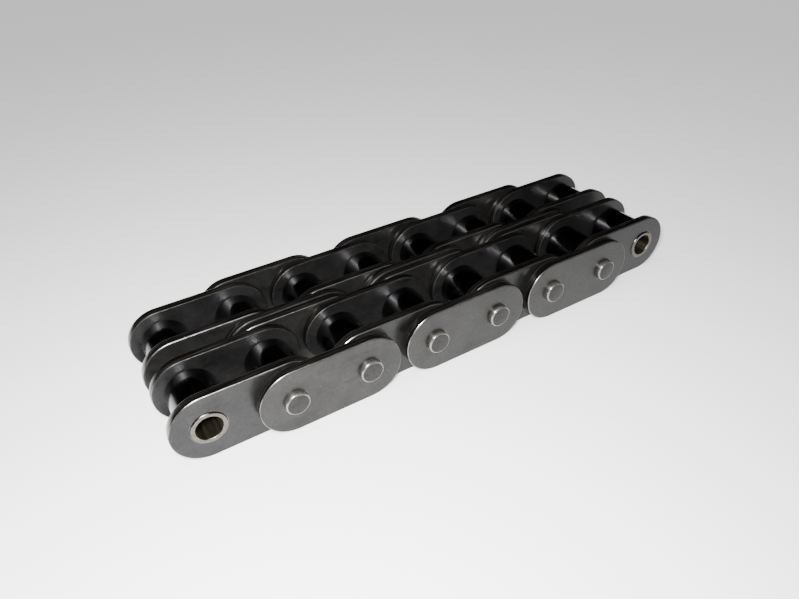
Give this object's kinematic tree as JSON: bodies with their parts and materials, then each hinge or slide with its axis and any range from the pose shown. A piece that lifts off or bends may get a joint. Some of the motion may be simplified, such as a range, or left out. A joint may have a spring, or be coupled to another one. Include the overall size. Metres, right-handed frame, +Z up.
{
  "type": "roller chain",
  "caption": "Length of duplex roller chain with straight obround side plates, riveted pins, bushes and free rollers, open at both ends on inner links.",
  "frame": {"origin": "middle of the chain, on the plane of the pin axes", "axes": "+X along the chain from left to right, +Y from the front strand to the rear strand along the pins, +Z up"},
  "size_m": [0.2008, 0.0638, 0.023],
  "materials": {
    "plate_steel": "satin stamped and tumbled steel, sheared edges brighter and banded",
    "pin_steel": "ground steel, riveted ends with a bright rounded edge",
    "bush_steel": "bright ground steel",
    "roller_black_oxide": "glossy oiled black oxide on steel"
  },
  "bodies": {
    "outer_link_1": {"outer_plate_1_front": "plate_steel", "outer_plate_1_rear": "plate_steel", "pin_and_centre_plate_1_left": "pin_steel", "pin_and_centre_plate_1_right": "pin_steel"},
    "outer_link_2": {"outer_plate_2_front": "plate_steel", "outer_plate_2_rear": "plate_steel", "pin_and_centre_plate_2_left": "pin_steel", "pin_and_centre_plate_2_right": "pin_steel"},
    "outer_link_3": {"outer_plate_3_front": "plate_steel", "outer_plate_3_rear": "plate_steel", "pin_and_centre_plate_3_left": "pin_steel", "pin_and_centre_plate_3_right": "pin_steel"},
    "inner_link_2": {"inner_plate_2_front_outside": "plate_steel", "inner_plate_2_front_inside": "plate_steel", "bush_2_front_left": "bush_steel", "bush_2_front_right": "bush_steel", "inner_plate_2_rear_outside": "plate_steel", "inner_plate_2_rear_inside": "plate_steel", "bush_2_rear_left": "bush_steel", "bush_2_rear_right": "bush_steel"},
    "inner_link_3": {"inner_plate_3_front_outside": "plate_steel", "inner_plate_3_front_inside": "plate_steel", "bush_3_front_left": "bush_steel", "bush_3_front_right": "bush_steel", "inner_plate_3_rear_outside": "plate_steel", "inner_plate_3_rear_inside": "plate_steel", "bush_3_rear_left": "bush_steel", "bush_3_rear_right": "bush_steel"},
    "inner_link_1_front": {"inner_plate_1_front_outside": "plate_steel", "inner_plate_1_front_inside": "plate_steel", "bush_1_front_left": "bush_steel", "bush_1_front_right": "bush_steel"},
    "inner_link_1_rear": {"inner_plate_1_rear_outside": "plate_steel", "inner_plate_1_rear_inside": "plate_steel", "bush_1_rear_left": "bush_steel", "bush_1_rear_right": "bush_steel"},
    "inner_link_4_front": {"inner_plate_4_front_outside": "plate_steel", "inner_plate_4_front_inside": "plate_steel", "bush_4_front_left": "bush_steel", "bush_4_front_right": "bush_steel"},
    "inner_link_4_rear": {"inner_plate_4_rear_outside": "plate_steel", "inner_plate_4_rear_inside": "plate_steel", "bush_4_rear_left": "bush_steel", "bush_4_rear_right": "bush_steel"},
    "roller_1_front_left": {"roller_1_front_left": "roller_black_oxide"},
    "roller_1_front_right": {"roller_1_front_right": "roller_black_oxide"},
    "roller_1_rear_left": {"roller_1_rear_left": "roller_black_oxide"},
    "roller_1_rear_right": {"roller_1_rear_right": "roller_black_oxide"},
    "roller_2_front_left": {"roller_2_front_left": "roller_black_oxide"},
    "roller_2_front_right": {"roller_2_front_right": "roller_black_oxide"},
    "roller_2_rear_left": {"roller_2_rear_left": "roller_black_oxide"},
    "roller_2_rear_right": {"roller_2_rear_right": "roller_black_oxide"},
    "roller_3_front_left": {"roller_3_front_left": "roller_black_oxide"},
    "roller_3_front_right": {"roller_3_front_right": "roller_black_oxide"},
    "roller_3_rear_left": {"roller_3_rear_left": "roller_black_oxide"},
    "roller_3_rear_right": {"roller_3_rear_right": "roller_black_oxide"},
    "roller_4_front_left": {"roller_4_front_left": "roller_black_oxide"},
    "roller_4_front_right": {"roller_4_front_right": "roller_black_oxide"},
    "roller_4_rear_left": {"roller_4_rear_left": "roller_black_oxide"},
    "roller_4_rear_right": {"roller_4_rear_right": "roller_black_oxide"}
  },
  "joints": [
    {"name": "inner_link_2_hinge", "type": "hinge", "parent": "outer_link_2", "child": "inner_link_2", "pos_m": [-0.0127, 0, 0], "axis": [0, 1, 0], "range_deg": [-45, 45]},
    {"name": "outer_link_1_hinge", "type": "hinge", "parent": "inner_link_2", "child": "outer_link_1", "pos_m": [-0.0381, 0, 0], "axis": [0, 1, 0], "range_deg": [-45, 45]},
    {"name": "inner_link_1_front_hinge", "type": "hinge", "parent": "outer_link_1", "child": "inner_link_1_front", "pos_m": [-0.0635, -0.01465, 0], "axis": [0, 1, 0], "range_deg": [-45, 45]},
    {"name": "inner_link_1_rear_hinge", "type": "hinge", "parent": "outer_link_1", "child": "inner_link_1_rear", "pos_m": [-0.0635, 0.01465, 0], "axis": [0, 1, 0], "range_deg": [-45, 45]},
    {"name": "inner_link_3_hinge", "type": "hinge", "parent": "outer_link_2", "child": "inner_link_3", "pos_m": [0.0127, 0, 0], "axis": [0, -1, 0], "range_deg": [-45, 45]},
    {"name": "outer_link_3_hinge", "type": "hinge", "parent": "inner_link_3", "child": "outer_link_3", "pos_m": [0.0381, 0, 0], "axis": [0, -1, 0], "range_deg": [-45, 45]},
    {"name": "inner_link_4_front_hinge", "type": "hinge", "parent": "outer_link_3", "child": "inner_link_4_front", "pos_m": [0.0635, -0.01465, 0], "axis": [0, -1, 0], "range_deg": [-45, 45]},
    {"name": "inner_link_4_rear_hinge", "type": "hinge", "parent": "outer_link_3", "child": "inner_link_4_rear", "pos_m": [0.0635, 0.01465, 0], "axis": [0, -1, 0], "range_deg": [-45, 45]},
    {"name": "roller_1_front_left_spin", "type": "hinge", "parent": "inner_link_1_front", "child": "roller_1_front_left", "pos_m": [-0.0889, -0.01465, 0], "axis": [0, 1, 0], "continuous": true},
    {"name": "roller_1_front_right_spin", "type": "hinge", "parent": "inner_link_1_front", "child": "roller_1_front_right", "pos_m": [-0.0635, -0.01465, 0], "axis": [0, 1, 0], "continuous": true},
    {"name": "roller_1_rear_left_spin", "type": "hinge", "parent": "inner_link_1_rear", "child": "roller_1_rear_left", "pos_m": [-0.0889, 0.01465, 0], "axis": [0, 1, 0], "continuous": true},
    {"name": "roller_1_rear_right_spin", "type": "hinge", "parent": "inner_link_1_rear", "child": "roller_1_rear_right", "pos_m": [-0.0635, 0.01465, 0], "axis": [0, 1, 0], "continuous": true},
    {"name": "roller_2_front_left_spin", "type": "hinge", "parent": "inner_link_2", "child": "roller_2_front_left", "pos_m": [-0.0381, -0.01465, 0], "axis": [0, 1, 0], "continuous": true},
    {"name": "roller_2_front_right_spin", "type": "hinge", "parent": "inner_link_2", "child": "roller_2_front_right", "pos_m": [-0.0127, -0.01465, 0], "axis": [0, 1, 0], "continuous": true},
    {"name": "roller_2_rear_left_spin", "type": "hinge", "parent": "inner_link_2", "child": "roller_2_rear_left", "pos_m": [-0.0381, 0.01465, 0], "axis": [0, 1, 0], "continuous": true},
    {"name": "roller_2_rear_right_spin", "type": "hinge", "parent": "inner_link_2", "child": "roller_2_rear_right", "pos_m": [-0.0127, 0.01465, 0], "axis": [0, 1, 0], "continuous": true},
    {"name": "roller_3_front_left_spin", "type": "hinge", "parent": "inner_link_3", "child": "roller_3_front_left", "pos_m": [0.0127, -0.01465, 0], "axis": [0, 1, 0], "continuous": true},
    {"name": "roller_3_front_right_spin", "type": "hinge", "parent": "inner_link_3", "child": "roller_3_front_right", "pos_m": [0.0381, -0.01465, 0], "axis": [0, 1, 0], "continuous": true},
    {"name": "roller_3_rear_left_spin", "type": "hinge", "parent": "inner_link_3", "child": "roller_3_rear_left", "pos_m": [0.0127, 0.01465, 0], "axis": [0, 1, 0], "continuous": true},
    {"name": "roller_3_rear_right_spin", "type": "hinge", "parent": "inner_link_3", "child": "roller_3_rear_right", "pos_m": [0.0381, 0.01465, 0], "axis": [0, 1, 0], "continuous": true},
    {"name": "roller_4_front_left_spin", "type": "hinge", "parent": "inner_link_4_front", "child": "roller_4_front_left", "pos_m": [0.0635, -0.01465, 0], "axis": [0, 1, 0], "continuous": true},
    {"name": "roller_4_front_right_spin", "type": "hinge", "parent": "inner_link_4_front", "child": "roller_4_front_right", "pos_m": [0.0889, -0.01465, 0], "axis": [0, 1, 0], "continuous": true},
    {"name": "roller_4_rear_left_spin", "type": "hinge", "parent": "inner_link_4_rear", "child": "roller_4_rear_left", "pos_m": [0.0635, 0.01465, 0], "axis": [0, 1, 0], "continuous": true},
    {"name": "roller_4_rear_right_spin", "type": "hinge", "parent": "inner_link_4_rear", "child": "roller_4_rear_right", "pos_m": [0.0889, 0.01465, 0], "axis": [0, 1, 0], "continuous": true}
  ]
}
